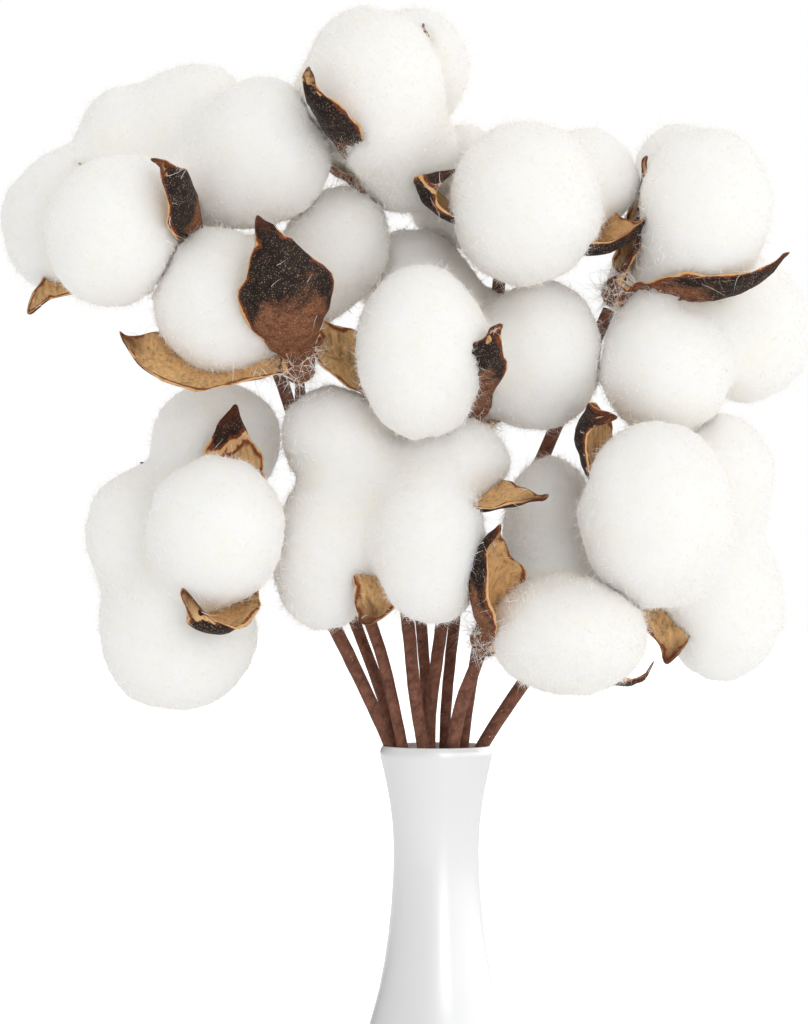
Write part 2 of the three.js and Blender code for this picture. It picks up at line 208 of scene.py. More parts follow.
class Shades:
    """Builds one node material step by step."""

    def __init__(self, name):
        self.material = bpy.data.materials.new(name)
        self.material.use_nodes = True
        self.tree = self.material.node_tree
        self.shader = next(n for n in self.tree.nodes if n.type == "BSDF_PRINCIPLED")

    def node(self, kind, **values):
        """A node with its plain sockets and settings filled in."""
        made = self.tree.nodes.new(kind)
        for key, value in values.items():
            if hasattr(made, key):
                setattr(made, key, value)
            else:
                made.inputs[key.replace("_", " ")].default_value = value
        return made

    def link(self, source, target):
        self.tree.links.new(source, target)

    def set(self, **values):
        """Fixed numbers on the shader's own sockets."""
        for key, value in values.items():
            self.shader.inputs[key.replace("_", " ")].default_value = value

    def place(self, stretch=(1, 1, 1)):
        """The place on the piece, stretched for a pattern."""
        coordinates = self.node("ShaderNodeTexCoord")
        mapping = self.node("ShaderNodeMapping", Scale=stretch)
        self.link(coordinates.outputs["Object"], mapping.inputs["Vector"])
        return mapping.outputs["Vector"]

    def around(self, stretch=(1, 1, 1)):
        """The place along and around a tube, stretched for a pattern."""
        coordinates = self.node("ShaderNodeTexCoord")
        mapping = self.node("ShaderNodeMapping", Scale=stretch)
        self.link(coordinates.outputs["UV"], mapping.inputs["Vector"])
        return mapping.outputs["Vector"]

    def value(self, name):
        """A number that the mesh stores for each of its points."""
        return self.node("ShaderNodeAttribute", attribute_name=name).outputs["Fac"]

    def noise(self, vector, scale, detail=4.0, roughness=0.6):
        made = self.node("ShaderNodeTexNoise", Scale=scale, Detail=detail, Roughness=roughness)
        self.link(vector, made.inputs["Vector"])
        return made.outputs["Fac"]

    def cells(self, vector, scale):
        """How far each place is from the nearest of many scattered points."""
        made = self.node("ShaderNodeTexVoronoi", Scale=scale)
        self.link(vector, made.inputs["Vector"])
        return made.outputs["Distance"]

    def ramp(self, factor, stops):
        """A colour for each value from 0 to 1."""
        made = self.node("ShaderNodeValToRGB")
        ramp = made.color_ramp
        while len(ramp.elements) < len(stops):
            ramp.elements.new(0.5)
        for element, (position, colour) in zip(ramp.elements, stops):
            element.position = position
            element.color = (*colour, 1)
        self.link(factor, made.inputs["Fac"])
        return made.outputs["Color"]

    def span(self, factor, low, high, to_low=0.0, to_high=1.0):
        """A value moved from one range to another."""
        made = self.node("ShaderNodeMapRange")
        numbers = zip(("From Min", "From Max", "To Min", "To Max"), (low, high, to_low, to_high))
        for key, number in numbers:
            made.inputs[key].default_value = number
        self.link(factor, made.inputs["Value"])
        return made.outputs["Result"]

    def combine(self, kind, first, second):
        """Two values in one, by addition, multiplication and the like."""
        made = self.node("ShaderNodeMath", operation=kind)
        for socket, source in zip(made.inputs, (first, second)):
            if isinstance(source, (int, float)):
                socket.default_value = source
            else:
                self.link(source, socket)
        return made.outputs["Value"]

    def mix(self, factor, first, second, kind="MIX"):
        """Two colours in one."""
        made = self.node("ShaderNodeMix", data_type="RGBA", blend_type=kind)
        colours = [socket for socket in made.inputs if socket.type == "RGBA"]
        if isinstance(factor, (int, float)):
            made.inputs["Factor"].default_value = factor
        else:
            self.link(factor, made.inputs["Factor"])
        for socket, source in zip(colours, (first, second)):
            if isinstance(source, (tuple, list)):
                socket.default_value = (*source[:3], 1)
            else:
                self.link(source, socket)
        return next(socket for socket in made.outputs if socket.type == "RGBA")

    def bump(self, height, strength, distance):
        """Fine relief on the surface."""
        made = self.node("ShaderNodeBump", Strength=strength, Distance=distance)
        self.link(height, made.inputs["Height"])
        self.link(made.outputs["Normal"], self.shader.inputs["Normal"])

    def colour(self, source):
        self.link(source, self.shader.inputs["Base Color"])

    def roughness(self, source):
        self.link(source, self.shader.inputs["Roughness"])


# ---- Sizes and colours ----


class VaseSettings(PropertyGroup):
    """The glazed vase."""

    sides: IntProperty(
        name="Sides", description="Steps round the vase before smoothing", default=72, min=16, max=96
    )
    glaze: FloatVectorProperty(
        name="Glaze", description="Colour of the white glaze", subtype="COLOR",
        size=3, min=0, max=1, default=(0.84, 0.84, 0.84),
    )


class StemSettings(PropertyGroup):
    """The paper-taped stems."""

    sides: IntProperty(name="Sides", description="Steps round a stem", default=14, min=6, max=32)
    steps: IntProperty(name="Steps", description="Steps along a stem", default=70, min=10, max=200)
    tape_width: FloatProperty(
        name="Tape turn", description="How far the paper tape climbs in one turn",
        subtype="DISTANCE", unit="LENGTH", default=7 * MM,
    )
    slimmer: FloatProperty(
        name="Slimmer", description="How thick the finished stem is beside the plain one",
        subtype="FACTOR", default=0.88, min=0.5, max=1,
    )
    ridge: FloatProperty(
        name="Tape edge", description="How far the tape's edge stands out",
        subtype="DISTANCE", unit="LENGTH", default=0.12 * MM,
    )
    colour: FloatVectorProperty(
        name="Tape", description="Colour of the paper tape", subtype="COLOR",
        size=3, min=0, max=1, default=(0.2, 0.085, 0.055),
    )


class BurrSettings(PropertyGroup):
    """The dry burrs."""

    crumple: FloatProperty(
        name="Crumple", description="How far the dry skin is out of true",
        subtype="DISTANCE", unit="LENGTH", default=0.4 * MM,
    )
    ragged: FloatProperty(
        name="Ragged", description="How far the valves' edges wander",
        subtype="DISTANCE", unit="LENGTH", default=1.1 * MM,
    )
    ridge: FloatProperty(
        name="Middle ridge", description="Height of the ridge inside each valve",
        subtype="DISTANCE", unit="LENGTH", default=0.9 * MM,
    )
    outside: FloatVectorProperty(
        name="Outside", description="Colour of the dark outer skin", subtype="COLOR",
        size=3, min=0, max=1, default=(0.022, 0.013, 0.01),
    )
    inside: FloatVectorProperty(
        name="Inside", description="Colour of the tan inner skin", subtype="COLOR",
        size=3, min=0, max=1, default=(0.72, 0.44, 0.2),
    )
    rim: FloatVectorProperty(
        name="Rim", description="Colour of the valves' edges", subtype="COLOR",
        size=3, min=0, max=1, default=(0.2, 0.05, 0.02),
    )


class LintSettings(PropertyGroup):
    """The fluffy lint."""

    grain: FloatProperty(
        name="Grain", description="Size of the faces that the lint is remade from",
        subtype="DISTANCE", unit="LENGTH", default=1.08 * MM,
    )
    puff: FloatProperty(
        name="Puff", description="How far the lint swells where it has room",
        subtype="DISTANCE", unit="LENGTH", default=1.65 * MM,
    )
    softening: IntProperty(
        name="Softening", description="How often the lint's corners are taken off",
        default=44, min=0, max=100,
    )
    colour: FloatVectorProperty(
        name="Lint", description="Colour of the cotton", subtype="COLOR",
        size=3, min=0, max=1, default=(0.98, 0.94, 0.885),
    )


class HairSettings(PropertyGroup):
    """The loose hairs on the lint and the wisps that cling to the burrs."""

    length: FloatProperty(
        name="Hair length", description="Usual length of a loose hair",
        subtype="DISTANCE", unit="LENGTH", default=3.4 * MM,
    )
    width: FloatProperty(
        name="Hair width", description="Width of a loose hair at its root",
        subtype="DISTANCE", unit="LENGTH", default=0.07 * MM,
    )
    count: IntProperty(
        name="Hairs", description="Loose hairs on each boll", default=7000, min=0, max=30000
    )
    tuft_length: FloatProperty(
        name="Tuft length", description="Usual length of the soft tufts that cover the lint",
        subtype="DISTANCE", unit="LENGTH", default=1.7 * MM,
    )
    tuft_width: FloatProperty(
        name="Tuft width", description="Width of a soft tuft at its root",
        subtype="DISTANCE", unit="LENGTH", default=0.24 * MM,
    )
    tufts: IntProperty(
        name="Tufts", description="Soft tufts on each boll", default=23000, min=0, max=60000
    )
    wisp_length: FloatProperty(
        name="Wisp length", description="Usual length of a wisp on a burr",
        subtype="DISTANCE", unit="LENGTH", default=4.5 * MM,
    )
    wisps: IntProperty(
        name="Wisps", description="Wisps that cling to each burr", default=900, min=0, max=5000
    )
    down_length: FloatProperty(
        name="Down length", description="Usual length of the short down on a burr",
        subtype="DISTANCE", unit="LENGTH", default=0.25 * MM,
    )
    down: IntProperty(
        name="Down", description="Short hairs on each burr's skin", default=4000, min=0, max=30000
    )
    down_colour: FloatVectorProperty(
        name="Down colour", description="Colour of the short down on a burr", subtype="COLOR",
        size=3, min=0, max=1, default=(0.42, 0.32, 0.23),
    )


class StageSettings(PropertyGroup):
    """Floor, light and camera."""

    camera_distance: FloatProperty(
        name="Camera distance", description="From the camera to the middle of the vase",
        subtype="DISTANCE", unit="LENGTH", default=1.0,
    )
    view_height: FloatProperty(
        name="View height", description="Height of what the camera takes in at the vase",
        subtype="DISTANCE", unit="LENGTH", default=0.256,
    )
    floor_radius: FloatProperty(
        name="Floor radius", description="Radius of the pale floor",
        subtype="DISTANCE", unit="LENGTH", default=6.0,
    )
    light: FloatProperty(name="Light", description="Strength of the soft light", default=1.0, min=0)


# ---- Vase ----


def vase_rings():
    """Height, inner and outer radius of the frame's vase at each ring, from foot to raised lip."""
    rings = {}
    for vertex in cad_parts["vase"].data.vertices:
        radius = math.hypot(vertex.co.x, vertex.co.y)
        rings.setdefault(round(vertex.co.z / MM, 1), []).append(radius)
    top = max(rings)
    raised = {}
    for height in rings:
        raised[height] = height + LIP_RAISED * step_between(top - LIP_REACH, top, height)
    return [(raised[height] * MM, min(radii), max(radii)) for height, radii in sorted(rings.items())]


def glaze_material(settings):
    shades = Shades("white_glaze")
    place = shades.place()
    tint = shades.noise(place, 18.0, detail=3.0)
    white = tuple(settings.glaze)
    cooler = tuple(c * f for c, f in zip(white, (0.965, 0.97, 0.975)))
    shades.colour(shades.ramp(tint, [(0.3, cooler), (0.75, white)]))
    waves = shades.noise(place, 55.0, detail=2.0)
    shades.roughness(shades.span(waves, 0.3, 0.7, 0.16, 0.24))
    shades.bump(waves, 0.05, 0.4 * MM)
    shades.set(Coat_Weight=0.8, Coat_Roughness=0.3, IOR=1.5)
    return shades.material


class COTTON_OT_vase(Operator):
    """Turn the slim white vase on its axis and glaze it"""

    bl_idname = "cotton.vase"
    bl_label = "Vase"

    def execute(self, context):
        settings = context.scene.cotton_vase
        rings = vase_rings()
        foot = rings[0][2]
        lip = rings[-1]
        floor = next(ring for ring in rings[1:] if ring[1] < MM)
        walls = [ring for ring in rings[1:-1] if ring is not floor]
        outside = [(outer, height) for height, _, outer in walls]
        inside = [(inner, height) for height, inner, outer in walls if outer - inner > 0.5 * MM]
        # Rings close to each other keep the foot, the lip and the inner floor crisp once smoothed.
        profile = [(0, 0), (foot * 0.7, 0), (foot * 0.97, 0), *outside, (lip[2] - 0.2 * MM, lip[0])]
        profile += [(inner, height) for inner, height in reversed(inside) if height > floor[0]]
        profile += [(floor[2] * 0.9, floor[0]), (floor[2] * 0.5, floor[0]), (0, floor[0])]
        work = bmesh.new()
        points = [work.verts.new((radius, 0, height)) for radius, height in profile]
        line = [work.edges.new(pair) for pair in zip(points, points[1:])]
        bmesh.ops.spin(
            work, geom=points + line, cent=(0, 0, 0), axis=(0, 0, 1), angle=math.tau,
            steps=settings.sides, use_merge=True, use_normal_flip=False, use_duplicate=False,
        )
        bmesh.ops.remove_doubles(work, verts=work.verts, dist=0.01 * MM)
        bmesh.ops.recalc_face_normals(work, faces=work.faces)
        mesh = mesh_from(work, "vase_glazed")
        piece = add_piece("vase_glazed", mesh, glaze_material(settings), ["vase"])
        smoother = piece.modifiers.new("smooth", "SUBSURF")
        smoother.levels = smoother.render_levels = 1
        return {"FINISHED"}


# ---- Stems ----


def stem_centres(node, steps):
    """The middle and the radius of a frame stem at even heights, from its foot to its head."""
    above_foot, below_head = 0.05 * MM, 1.2 * MM
    work = merged_copy(node)
    low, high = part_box(node)
    ends = [(e.verts[0].co.copy(), e.verts[1].co.copy()) for e in work.edges]
    work.free()
    centres, radii = [], []
    for height in np.linspace(low.z + above_foot, high.z - below_head, steps + 1):
        cut = []
        for first, second in ends:
            if (first.z - height) * (second.z - height) < 0:
                cut.append(first.lerp(second, (height - first.z) / (second.z - first.z)))
        corners = np.array(cut)
        middle = (corners.min(0) + corners.max(0)) / 2
        centres.append(middle)
        radii.append(np.median(np.linalg.norm(corners - middle, axis=1)))
    return np.array(centres), np.array(radii)


def evened(values, times):
    """A run of values with its corners taken off, its ends kept."""
    values = values.copy()
    for _ in range(times):
        values[1:-1] = (values[:-2] + 2 * values[1:-1] + values[2:]) / 4
    return values


def bend_along(work, centres, radii, ridge, turn):
    """Wraps a flat grid round a run of centres as a closed tube, with the tape's edge raised."""
    steps = len(centres) - 1
    ahead = unit(np.gradient(centres, axis=0))
    across = unit(np.cross(ahead, np.array([0.0, 1.0, 0.0])))
    upward = np.cross(ahead, across)
    length = np.concatenate([[0], np.cumsum(np.linalg.norm(np.diff(centres, axis=0), axis=1))])
    for vertex in work.verts:
        step = round((vertex.co.y + 0.5) * steps)
        angle = math.tau * (vertex.co.x + 0.5)
        climb = (length[step] / turn - angle / math.tau) % 1.0
        radius = radii[step] + ridge * (climb ** 3 - 0.3)
        sideways = math.cos(angle) * across[step] + math.sin(angle) * upward[step]
        vertex.co = Vector(centres[step] + radius * sideways)


def tape_material(settings):
    shades = Shades("paper_tape")
    base = tuple(settings.colour)
    place = shades.place()
    along = shades.around()
    split = shades.node("ShaderNodeSeparateXYZ")
    shades.link(along, split.inputs["Vector"])
    turns = shades.combine("SUBTRACT", split.outputs["Y"], split.outputs["X"])
    climb = shades.combine("FRACT", turns, 0.0)
    mottle = shades.noise(place, 420.0, detail=6.0, roughness=0.7)
    body = shades.ramp(mottle, [(0.3, scaled(base, 0.45)), (0.52, base), (0.78, scaled(base, 1.7))])
    edge = shades.span(climb, 0.86, 1.0, 0, 0.5)
    taped = shades.mix(edge, body, scaled(base, 0.35))
    fibres = shades.noise(shades.place((1, 1, 0.12)), 2400.0, detail=3.0)
    streaked = shades.mix(shades.span(fibres, 0.62, 0.8, 0, 0.35), taped, scaled(base, 2.6))
    dust = shades.noise(place, 1500.0, detail=2.0)
    shades.colour(shades.mix(shades.span(dust, 0.7, 0.78, 0, 0.75), streaked, (0.62, 0.58, 0.52)))
    shades.bump(shades.combine("ADD", fibres, mottle), 0.5, 0.25 * MM)
    shades.set(Roughness=0.88, Specular_IOR_Level=0.25)
    return shades.material


class COTTON_OT_stems(Operator):
    """Wrap the stems in paper tape"""

    bl_idname = "cotton.stems"
    bl_label = "Stems"

    def execute(self, context):
        settings = context.scene.cotton_stems
        material = tape_material(settings)
        for name in BOLLS:
            node = f"stem_{name}"
            centres, radii = stem_centres(node, settings.steps)
            centres, radii = evened(centres, 6), settings.slimmer * evened(radii, 12)
            work = bmesh.new()
            bmesh.ops.create_grid(
                work, x_segments=settings.sides, y_segments=settings.steps, size=0.5, calc_uvs=True
            )
            length = float(np.linalg.norm(np.diff(centres, axis=0), axis=1).sum())
            layer = work.loops.layers.uv.verify()
            for face in work.faces:
                for loop in face.loops:
                    where = loop.vert.co
                    loop[layer].uv = (where.x + 0.5, (where.y + 0.5) * length / settings.tape_width)
            bend_along(work, centres, radii, settings.ridge, settings.tape_width)
            bmesh.ops.remove_doubles(work, verts=work.verts, dist=0.01 * MM)
            bmesh.ops.holes_fill(work, edges=work.edges, sides=settings.sides * 2)
            bmesh.ops.recalc_face_normals(work, faces=work.faces)
            mesh = mesh_from(work, f"taped_{node}")
            add_piece(f"taped_{node}", mesh, material, [node])
        return {"FINISHED"}


# ---- Burrs ----


def spread(neighbours, starts):
    """The shortest way along the mesh from any start to each point."""
    distance = np.full(len(neighbours), np.inf)
    distance[starts] = 0
    queue = [(0.0, index) for index in starts]
    heapq.heapify(queue)
    while queue:
        way, index = heapq.heappop(queue)
        if way > distance[index]:
            continue
        for other, length in neighbours[index]:
            if way + length < distance[other]:
                distance[other] = way + length
                heapq.heappush(queue, (distance[other], other))
    return distance


def neighbours_of(mesh, places):
    """For each vertex, its neighbours and how far away they are."""
    pairs = edge_ends(mesh)
    lengths = np.linalg.norm(places[pairs[:, 0]] - places[pairs[:, 1]], axis=1)
    neighbours = [[] for _ in range(len(places))]
    for (first, second), length in zip(pairs.tolist(), lengths.tolist()):
        neighbours[first].append((second, length))
        neighbours[second].append((first, length))
    return neighbours


def find_tips(distance, places, neighbours):
    """The points of the valves: the furthest points from the foot, each well away from the others."""
    tips = []
    for index in np.argsort(-distance):
        if distance[index] < TIP_REACH:
            break
        if all(distance[other] <= distance[index] for other, _ in neighbours[index]):
            if all(np.linalg.norm(places[index] - places[tip]) > TIPS_APART for tip in tips):
                tips.append(int(index))
    return tips


def smoothed(values, neighbours, times):
    """Numbers evened out between each point and its neighbours."""
    for _ in range(times):
        totals = [value + sum(values[other] for other, _ in near) for value, near in zip(values, neighbours)]
        values = np.array([total / (1 + len(near)) for total, near in zip(totals, neighbours)])
    return values


def edge_ends(mesh):
    """The two vertices of each edge."""
    pairs = np.zeros(len(mesh.edges) * 2, np.int32)
    mesh.edges.foreach_get("vertices", pairs)
    return pairs.reshape(-1, 2)


def which_side(mesh, places, normals, lint_tree):
    """1 on the inner skin of the valves, which holds the lint, and -1 on the outer skin.

    Each point that has the lint close ahead or close behind votes, and the votes spread along the
    skin but hardly past its sharp edges.
    """
    reach, skin, near = 7 * MM, 1.5 * MM, 2 * MM
    edge_hold, vote_hold, rounds = 30, 0.03, 600
    votes = np.zeros(len(places))
    for index, (place, normal) in enumerate(zip(places, normals)):
        place, normal = Vector(place), Vector(normal)
        ahead = lint_tree.ray_cast(place, normal, reach)[3]
        back = lint_tree.ray_cast(place, -normal, reach)[3]
        if ahead is not None and (back is None or ahead < back - skin):
            votes[index] = math.exp(-ahead / near)
        elif back is not None:
            votes[index] = -math.exp(-max(0, back - skin) / near)
    first, second = edge_ends(mesh).T
    bend = 1 - (normals[first] * normals[second]).sum(1)
    ties = np.exp(-edge_hold * bend) * MM / np.linalg.norm(places[first] - places[second], axis=1)
    count = len(places)
    pull = vote_hold * np.abs(votes)
    whole = np.bincount(first, ties, count) + np.bincount(second, ties, count) + pull + 1e-9
    side = votes.copy()
    for _ in range(rounds):
        shared = np.bincount(first, ties * side[second], count)
        shared += np.bincount(second, ties * side[first], count)
        side = (shared + vote_hold * votes) / whole
    return np.where(side > 0, 1.0, -1.0)


def describe_valves(mesh, foot, lint_tree):
    """Each point's side, and its way along the skin to the nearest edge, to the tip and to the foot."""
    places, normals = read_points(mesh)
    neighbours = neighbours_of(mesh, places)
    nearest = int(np.argmin(np.linalg.norm(places - foot, axis=1)))
    from_foot = spread(neighbours, [nearest])
    tips = find_tips(from_foot, places, neighbours)
    to_tip = spread(neighbours, tips)
    side = which_side(mesh, places, normals, lint_tree)
    inner = side > 0
    rim = []
    for index, near in enumerate(neighbours):
        if any(inner[index] != inner[other] for other, _ in near):
            rim.append(index)
    to_rim = spread(neighbours, rim)
    return smoothed(side, neighbours, 1), to_rim, to_tip, from_foot


def stem_head(name):
    """The head of a stem, where its burr springs from."""
    places, _ = read_points(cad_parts[f"stem_{name}"].data)
    depth = 3 * MM
    top = places[places[:, 2] > places[:, 2].max() - depth]
    return top.mean(0)


def tree_of(node):
    """A search tree of a frame node's faces."""
    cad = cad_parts[node].data
    faces = [tuple(face.vertices) for face in cad.polygons]
    return BVHTree.FromPolygons([vertex.co.copy() for vertex in cad.vertices], faces)


def burr_material(settings):
    shades = Shades("dry_burr")
    outside, inside, rim = (tuple(c) for c in (settings.outside, settings.inside, settings.rim))
    place = shades.place()
    broad = shades.noise(place, 110.0, detail=3.0)
    coarse = shades.noise(place, 420.0, detail=6.0, roughness=0.7)
    fine = shades.noise(place, 1700.0, detail=4.0, roughness=0.65)
    brown = tuple(c * f for c, f in zip(outside, (13.0, 8.6, 5.2)))
    black = shades.ramp(coarse, [(0.35, scaled(outside, 0.5)), (0.7, scaled(outside, 2))])
    grains = shades.combine("ADD", shades.span(fine, 0, 1, 0, 0.6), shades.span(coarse, 0, 1, 0, 0.4))
    rust = shades.ramp(grains, [(0.38, scaled(brown, 0.25)), (0.6, scaled(brown, 1.25))])
    near_foot = shades.span(shades.value("from_foot"), 20.0, 42.0, 0.5, -0.2)
    narrow = shades.span(shades.value("to_rim"), 2.5, 6.0, -0.3, 0)
    worn = shades.combine("ADD", shades.combine("ADD", broad, near_foot), narrow)
    skin = shades.mix(shades.span(worn, 0.5, 0.72), black, rust)
    dots = shades.span(shades.cells(place, 2000.0), 0.17, 0.33, 1, 0)
    many = shades.combine("MULTIPLY", dots, shades.span(coarse, 0.36, 0.56, 0.15, 0.85))
    specks = shades.mix(many, skin, (0.4, 0.29, 0.2))
    streaks = shades.noise(shades.place((1.3, 1.3, 0.3)), 800.0, detail=5.0)
    tan = shades.ramp(
        shades.combine("ADD", shades.span(streaks, 0, 1, 0, 0.6), shades.span(broad, 0, 1, 0, 0.4)),
        [(0.34, scaled(inside, 0.4)), (0.5, inside), (0.7, scaled(inside, 1.4))],
    )
    looks_in = shades.span(shades.value("side"), -0.5, -0.1)
    past_knob = shades.span(shades.value("from_foot"), 6.5, 10.0)
    both = shades.mix(shades.combine("MULTIPLY", looks_in, past_knob), specks, tan)
    ragged = shades.combine("ADD", shades.value("to_rim"), shades.span(coarse, 0, 1, -0.5, 0.5))
    edge = shades.span(ragged, 1.1, 1.8, 0.95, 0)
    edge_colour = shades.ramp(fine, [(0.3, scaled(rim, 0.4)), (0.65, scaled(rim, 1.6))])
    # A lighter tan along the very edge of each valve: partly the inner skin showing at the rim, and partly a
    # painted highlight, since that tan is brightened further here.
    lip = shades.span(ragged, 0.2, 0.55, 0.85, 0)
    edged = shades.mix(lip, shades.mix(edge, both, edge_colour), scaled(inside, 1.3))
    point = shades.span(shades.value("to_tip"), 1.5, 8.0, 0.9, 0)
    shades.colour(shades.mix(point, edged, scaled(rim, 0.5)))
    shades.bump(shades.combine("ADD", coarse, fine), 0.9, 0.5 * MM)
    shades.set(Roughness=0.7, Specular_IOR_Level=0.2)
    return shades.material


class COTTON_OT_burrs(Operator):
    """Dry and curl the pointed burrs that hold the lint"""

    bl_idname = "cotton.burrs"
    bl_label = "Burrs"

    def execute(self, context):
        settings = context.scene.cotton_burrs
        material = burr_material(settings)
        for name in BOLLS:
            node = f"burr_{name}"
            work = merged_copy(node)
            bmesh.ops.dissolve_limit(
                work, angle_limit=math.radians(1), verts=work.verts, edges=work.edges
            )
            mesh = mesh_from(work, f"dry_{node}")
            piece = add_piece(f"dry_{node}", mesh, material, [node])
            smoother = piece.modifiers.new("smooth", "SUBSURF")
            smoother.levels = smoother.render_levels = 2
            mesh = apply_modifiers(piece)
            places, normals = read_points(mesh)
            lint_tree = tree_of(f"lint_{name}")
            side, to_rim, to_tip, from_foot = describe_valves(mesh, stem_head(name), lint_tree)
            seed = int(name)
            width = step_between(1 * MM, 5 * MM, to_rim)
            inner = step_between(-0.2, 0.2, side)
            middle = step_between(3.5 * MM, 7 * MM, to_rim)
            crumple = lumps(places, 5 * MM, seed) + 0.6 * lumps(places, 1.7 * MM, seed + 20)
            lift = settings.ridge * inner * middle
            lift += settings.crumple * crumple * (0.3 + 0.7 * width)
            wave = np.stack([lumps(places, 5 * MM, seed + 50 + axis) for axis in range(3)], axis=1)
            wave *= (settings.ragged * (1 - width))[:, None]
            write_points(mesh, places + normals * lift[:, None] + wave)
            write_value(mesh, "side", side)
            for key, ways in (("to_rim", to_rim), ("to_tip", to_tip), ("from_foot", from_foot)):
                write_value(mesh, key, ways / MM)
            mesh.shade_smooth()
        return {"FINISHED"}


# ---- Lint ----


def near_trees(name, reach):
    """Search trees of the frame nodes close to a boll's lint: other bolls' lint, and what is firm."""
    low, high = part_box(f"lint_{name}")
    soft, firm = [], []
    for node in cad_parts:
        other_low, other_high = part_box(node)
        apart = any(
            other_low[i] > high[i] + reach or other_high[i] < low[i] - reach for i in range(3)
        )
        if node != f"lint_{name}" and not apart:
            (soft if node.startswith("lint_") else firm).append(tree_of(node))
    return soft, firm


def room_outside(places, normals, trees, reach):
    """How far each point can move outward before it meets another piece."""
    room = np.full(len(places), reach)
    for tree in trees:
        for index, (place, normal) in enumerate(zip(places, normals)):
            hit = tree.ray_cast(Vector(place), Vector(normal), room[index])
            if hit[3] is not None:
                room[index] = hit[3]
    return room


def lint_material(settings):
    shades = Shades("cotton_lint")
    place = shades.place()
    base = tuple(settings.colour)
    broad = shades.noise(place, 90.0, detail=4.0)
    wisps = shades.noise(shades.place((1, 1, 0.6)), 900.0, detail=8.0, roughness=0.7)
    creamy = tuple(c * f for c, f in zip(base, (0.995, 0.975, 0.93)))
    cooler = tuple(c * f for c, f in zip(base, (0.975, 0.985, 0.985)))
    tone = shades.ramp(broad, [(0.3, cooler), (0.5, base), (0.72, creamy)])
    shades.colour(shades.mix(shades.span(wisps, 0.35, 0.65, 0, 0.25), tone, (1, 1, 1)))
    shades.bump(wisps, 0.35, 0.5 * MM)
    shades.set(
        Roughness=0.95, Specular_IOR_Level=0.1, Sheen_Weight=0.3, Sheen_Roughness=0.5,
        Subsurface_Weight=1, Subsurface_Scale=15 * MM, Subsurface_Radius=(1, 0.95, 0.85),
    )
    return shades.material


def hair_material(name, base):
    shades = Shades(name)
    tint = shades.noise(shades.place(), 60.0, detail=2.0)
    shades.colour(shades.ramp(tint, [(0.3, scaled(base, 0.97)), (0.7, base)]))
    shades.set(Roughness=0.9, Specular_IOR_Level=0.1)
    return shades.material


def hair_mesh(name, roots, normals, draws, length, width, segments):
    """Thin curled ribbons that end in a point, one from each root, as one mesh."""
    count = len(roots)
    sideways = unit(np.cross(normals, draws.normal(size=(count, 3))))
    other = np.cross(normals, sideways)
    lift = draws.uniform(0.05, 0.8, (count, 1)) ** 1.4
    ahead = unit(sideways * (1 - lift) + normals * lift)
    reach = length * draws.uniform(0.4, 1.6, (count, 1))
    curl = other * draws.normal(0, 0.7, (count, 1)) - normals * draws.uniform(0, 0.5, (count, 1))
    flat = unit(np.cross(ahead, draws.normal(size=(count, 3))))
    start = roots - normals * 0.3 * MM
    rows = []
    for step in range(segments):
        t = step / segments
        middle = start + reach * (ahead * t + curl * t * t)
        half = flat * width * (1 - t * t) / 2
        rows += [middle - half, middle + half]
    rows.append(start + reach * (ahead + curl))
    points = np.stack(rows, axis=1).reshape(-1, 3)
    pattern = []
    for step in range(segments - 1):
        low = 2 * step
        pattern += [[low, low + 1, low + 3], [low, low + 3, low + 2]]
    pattern.append([2 * segments - 2, 2 * segments - 1, 2 * segments])
    faces = (np.array(pattern)[None] + np.arange(count)[:, None, None] * len(rows)).reshape(-1, 3)
    mesh = bpy.data.meshes.new(name)
    mesh.from_pydata(points.tolist(), [], faces.tolist())
    return mesh


def scatter(mesh, weights, count, draws):
    """Random points on a mesh, more where the weight is high, with the normals there."""
    mesh.calc_loop_triangles()
    corners = np.zeros(len(mesh.loop_triangles) * 3, np.int32)
    mesh.loop_triangles.foreach_get("vertices", corners)
    corners = corners.reshape(-1, 3)
    places, normals = read_points(mesh)
    a, b, c = (places[corners[:, i]] for i in range(3))
    area = np.linalg.norm(np.cross(b - a, c - a), axis=1) * weights[corners].mean(1)
    chosen = draws.choice(len(corners), size=count, p=area / area.sum())
    u, v = draws.random(count), draws.random(count)
    over = u + v > 1
    u[over], v[over] = 1 - u[over], 1 - v[over]
    shares = np.stack([1 - u - v, u, v], axis=1)
    roots = (places[corners[chosen]] * shares[:, :, None]).sum(1)
    return roots, unit((normals[corners[chosen]] * shares[:, :, None]).sum(1))


def sow(name, mesh, weights, draws, count, strand, material):
    """Sows one kind of fibre on a mesh, as one piece; a strand has a length, a width and steps."""
    roots, outward = scatter(mesh, weights, count, draws)
    fibres = hair_mesh(name, roots, outward, draws, *strand)
    add_piece(name, fibres, material)


